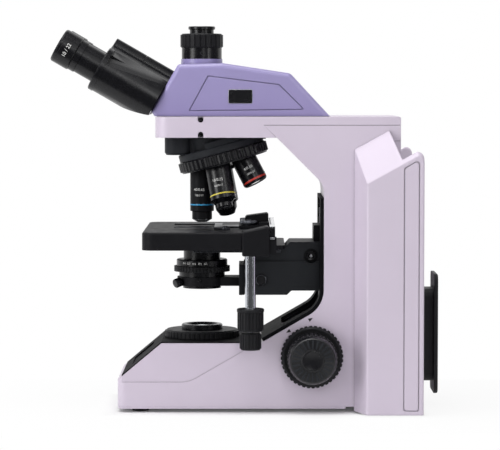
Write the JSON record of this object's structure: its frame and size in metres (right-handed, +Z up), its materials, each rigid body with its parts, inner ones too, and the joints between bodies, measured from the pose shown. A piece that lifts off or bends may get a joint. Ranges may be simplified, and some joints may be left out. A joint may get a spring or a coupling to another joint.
{
  "type": "microscope",
  "caption": "Trinocular laboratory microscope with inclined eyepieces, revolving nosepiece, mechanical stage, condenser, coaxial focus and a lamp in its base.",
  "frame": {"origin": "on the table under the middle of the whole instrument", "axes": "+X to the user's right, +Y away from the user, +Z up"},
  "size_m": [0.22, 0.4028, 0.398],
  "materials": {
    "lilac_casting": "satin pale lilac paint on a die casting",
    "lilac_plastic": "satin pale lilac moulding",
    "purple_casting": "satin purple moulding",
    "black_metal": "black anodised and painted metal",
    "black_plastic": "fine grained black moulding",
    "chrome": "polished",
    "steel": "ground",
    "brass": "turned",
    "rubber": "matt",
    "glass": "coated",
    "mirror": "front silvered",
    "aluminium": "raw"
  },
  "bodies": {
    "stand": {"stand_body": "lilac_casting", "arm_top": "lilac_casting", "rear_wings": "lilac_plastic", "back_panel": "lilac_plastic", "deck_cover": "black_plastic", "column_liner": "black_plastic", "base_plate": "steel", "feet": "rubber", "cord_winder": "black_plastic", "power_inlet": "black_plastic", "lamp_module": "aluminium", "fold_mirror": "mirror", "base_lenses": "glass", "field_lens_holder": "black_metal", "focus_bushes": "brass", "guide_rails": "steel", "nosepiece_mount": "black_metal"},
    "switch": {"power_switch": "black_plastic"},
    "dial": {"brightness_dial": "black_plastic"},
    "field_ring": {"field_iris_ring": "black_plastic"},
    "coarse": {"coarse_shaft": "steel", "coarse_knobs": "black_plastic"},
    "fine": {"fine_knobs": "black_plastic"},
    "tension": {"tension_ring": "black_plastic"},
    "carriage": {"stage_carriage": "black_metal", "focus_slide": "black_metal", "stage_lower_plate": "black_metal", "stage_rails": "chrome"},
    "condenser": {"condenser_holder": "black_metal", "condenser_body": "black_metal", "condenser_lens": "glass"},
    "condenser_drive": {"condenser_knob": "black_plastic"},
    "aperture": {"aperture_ring": "black_plastic"},
    "stage": {"stage_plate": "black_metal", "drive_box": "black_metal", "drive_post": "chrome", "cross_guide": "chrome"},
    "y_knob": {"stage_y_knob": "black_plastic"},
    "x_knob": {"stage_x_knob": "black_plastic"},
    "holder": {"slide_carrier": "black_metal", "slide_holder": "steel"},
    "finger": {"slide_finger": "steel"},
    "nosepiece": {"nosepiece_turret": "black_metal", "objective_20x": "black_metal", "objective_10x": "black_metal", "objective_4x": "black_metal", "objective_40x": "black_metal", "objective_100x": "black_metal"},
    "head": {"head_housing": "purple_casting", "photo_tube": "black_metal", "photo_insert": "black_metal", "hinge_shaft": "steel"},
    "clamp": {"photo_clamp_ring": "black_plastic"},
    "selector": {"beam_selector": "black_plastic"},
    "right_tube": {"tube_right": "black_metal", "eyepiece_right": "black_metal"},
    "left_tube": {"tube_left": "black_metal", "eyepiece_left": "black_metal"},
    "right_diopter": {"diopter_right": "black_metal"},
    "left_diopter": {"diopter_left": "black_metal"}
  },
  "joints": [
    {"name": "power_rocker", "type": "hinge", "parent": "stand", "child": "switch", "pos_m": [0.042, 0.157, 0.082], "axis": [1, 0, 0], "range_deg": [0, 14]},
    {"name": "brightness", "type": "hinge", "parent": "stand", "child": "dial", "pos_m": [-0.065, 0.02, 0.038], "axis": [-1, 0, 0], "range_deg": [0, 270]},
    {"name": "field_iris", "type": "hinge", "parent": "stand", "child": "field_ring", "pos_m": [0, -0.045, 0.077], "axis": [0, 0, 1], "range_deg": [-45, 60]},
    {"name": "stage_lift", "type": "slide", "parent": "stand", "child": "carriage", "axis": [0, 0, 1], "range_m": [-0.022, 0]},
    {"name": "coarse_focus", "type": "hinge", "parent": "stand", "child": "coarse", "pos_m": [0, 0.069, 0.0585], "axis": [1, 0, 0], "range_deg": [-211, 1]},
    {"name": "fine_focus", "type": "hinge", "parent": "stand", "child": "fine", "pos_m": [0, 0.069, 0.0585], "axis": [1, 0, 0], "continuous": true},
    {"name": "focus_tension", "type": "hinge", "parent": "stand", "child": "tension", "pos_m": [0, 0.069, 0.0585], "axis": [1, 0, 0], "range_deg": [-45, 45]},
    {"name": "condenser_lift", "type": "slide", "parent": "carriage", "child": "condenser", "axis": [0, 0, 1], "range_m": [-0.016, 0]},
    {"name": "condenser_focus", "type": "hinge", "parent": "carriage", "child": "condenser_drive", "pos_m": [0, 0.017, 0.1345], "axis": [1, 0, 0], "range_deg": [-1, 154]},
    {"name": "aperture_iris", "type": "hinge", "parent": "condenser", "child": "aperture", "pos_m": [0, -0.045, 0.1444], "axis": [0, 0, 1], "range_deg": [-50, 50]},
    {"name": "stage_y", "type": "slide", "parent": "carriage", "child": "stage", "axis": [0, 1, 0], "range_m": [-0.034, 0.012]},
    {"name": "stage_y_drive", "type": "hinge", "parent": "stage", "child": "y_knob", "pos_m": [0.084, 0.006, 0.098], "axis": [0, 0, 1], "range_deg": [-244, 87]},
    {"name": "stage_x_drive", "type": "hinge", "parent": "stage", "child": "x_knob", "pos_m": [0.084, 0.006, 0.076], "axis": [0, 0, 1], "range_deg": [-219, 219]},
    {"name": "stage_x", "type": "slide", "parent": "stage", "child": "holder", "axis": [1, 0, 0], "range_m": [-0.038, 0.038]},
    {"name": "slide_clip", "type": "hinge", "parent": "holder", "child": "finger", "pos_m": [0.045, -0.02, 0.1898], "axis": [0, 0, 1], "range_deg": [0, 25], "stiffness_Nm_per_rad": 0.02, "springref_deg": -11.46},
    {"name": "nosepiece_turn", "type": "hinge", "parent": "stand", "child": "nosepiece", "pos_m": [0, -0.0222, 0.2602], "axis": [0, 0.2622, -0.965], "continuous": true},
    {"name": "head_turn", "type": "hinge", "parent": "stand", "child": "head", "pos_m": [0, -0.045, 0.3045], "axis": [0, 0, 1], "continuous": true},
    {"name": "beam_path", "type": "slide", "parent": "head", "child": "selector", "axis": [-1, 0, 0], "range_m": [0, 0.02]},
    {"name": "photo_clamp", "type": "hinge", "parent": "head", "child": "clamp", "pos_m": [0, -0.045, 0.383], "axis": [0, 0, 1], "range_deg": [0, 90]},
    {"name": "eye_spacing", "type": "hinge", "parent": "head", "child": "right_tube", "pos_m": [0, -0.07705, 0.34355], "axis": [0, -0.866, 0.5], "range_deg": [-3, 23.5]},
    {"name": "left_eye_spacing", "type": "hinge", "parent": "head", "child": "left_tube", "pos_m": [0, -0.07705, 0.34355], "axis": [0, -0.866, 0.5], "range_deg": [-23.6, 3.1]},
    {"name": "right_diopter_turn", "type": "hinge", "parent": "right_tube", "child": "right_diopter", "pos_m": [0.029, -0.17206, 0.36699], "axis": [0, -0.866, 0.5], "range_deg": [-120, 120]},
    {"name": "left_diopter_turn", "type": "hinge", "parent": "left_tube", "child": "left_diopter", "pos_m": [-0.029, -0.17206, 0.36699], "axis": [0, -0.866, 0.5], "range_deg": [-120, 120]}
  ],
  "couplings": [
    {"joint": "coarse_focus", "follows": "stage_lift", "rad_per_m": 166.67},
    {"joint": "condenser_focus", "follows": "condenser_lift", "rad_per_m": -166.67},
    {"joint": "stage_y_drive", "follows": "stage_y", "rad_per_m": 125},
    {"joint": "stage_x_drive", "follows": "stage_x", "rad_per_m": 100},
    {"joint": "left_eye_spacing", "follows": "eye_spacing", "ratio": -1}
  ]
}
